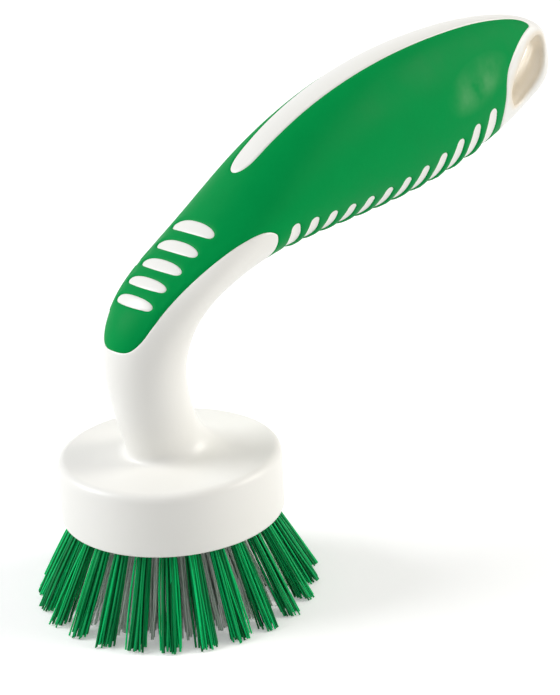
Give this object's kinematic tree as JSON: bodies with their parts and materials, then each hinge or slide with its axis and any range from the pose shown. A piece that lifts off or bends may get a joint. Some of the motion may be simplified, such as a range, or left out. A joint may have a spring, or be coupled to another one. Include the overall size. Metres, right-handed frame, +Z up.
{
  "type": "kitchen brush",
  "caption": "Round-headed kitchen brush: a swept moulded handle with a soft ribbed grip, thumb slots and a slanted hanging hole, over a round block of splayed bristle tufts.",
  "frame": {"origin": "centre of the bristle tips, on the axis of the round block, where the brush stands", "axes": "+X along the handle away from the block, +Z up from the bristle tips; XZ is the handle's plane of symmetry"},
  "size_m": [0.1956, 0.0794, 0.1381],
  "materials": {
    "white_plastic": "moulded white, soft gloss",
    "green_rubber": "soft satin thermoplastic rubber",
    "green_filament": "fine drawn filament",
    "white_filament": "fine drawn filament"
  },
  "bodies": {
    "root": {"handle_core": "white_plastic", "rubber_grip": "green_rubber", "green_tuft_01": "green_filament", "green_tuft_02": "green_filament", "green_tuft_03": "green_filament", "green_tuft_04": "green_filament", "green_tuft_05": "green_filament", "green_tuft_06": "green_filament", "green_tuft_07": "green_filament", "green_tuft_08": "green_filament", "green_tuft_09": "green_filament", "green_tuft_10": "green_filament", "green_tuft_11": "green_filament", "green_tuft_12": "green_filament", "green_tuft_13": "green_filament", "green_tuft_14": "green_filament", "green_tuft_15": "green_filament", "green_tuft_16": "green_filament", "green_tuft_17": "green_filament", "green_tuft_18": "green_filament", "green_tuft_19": "green_filament", "green_tuft_20": "green_filament", "green_tuft_21": "green_filament", "green_tuft_22": "green_filament", "green_tuft_23": "green_filament", "green_tuft_24": "green_filament", "green_tuft_25": "green_filament", "white_middle_tuft_01": "white_filament", "white_middle_tuft_02": "white_filament", "white_middle_tuft_03": "white_filament", "white_middle_tuft_04": "white_filament", "white_middle_tuft_05": "white_filament", "white_middle_tuft_06": "white_filament", "white_middle_tuft_07": "white_filament", "white_middle_tuft_08": "white_filament", "white_middle_tuft_09": "white_filament", "white_middle_tuft_10": "white_filament", "white_middle_tuft_11": "white_filament", "white_middle_tuft_12": "white_filament", "white_middle_tuft_13": "white_filament", "white_middle_tuft_14": "white_filament", "white_middle_tuft_15": "white_filament", "white_middle_tuft_16": "white_filament", "white_middle_tuft_17": "white_filament", "white_middle_tuft_18": "white_filament", "white_middle_tuft_19": "white_filament", "white_middle_tuft_20": "white_filament", "white_inner_tuft_01": "white_filament", "white_inner_tuft_02": "white_filament", "white_inner_tuft_03": "white_filament", "white_inner_tuft_04": "white_filament", "white_inner_tuft_05": "white_filament", "white_inner_tuft_06": "white_filament", "white_inner_tuft_07": "white_filament", "white_inner_tuft_08": "white_filament", "white_inner_tuft_09": "white_filament", "white_centre_tuft": "white_filament"}
  },
  "joints": []
}
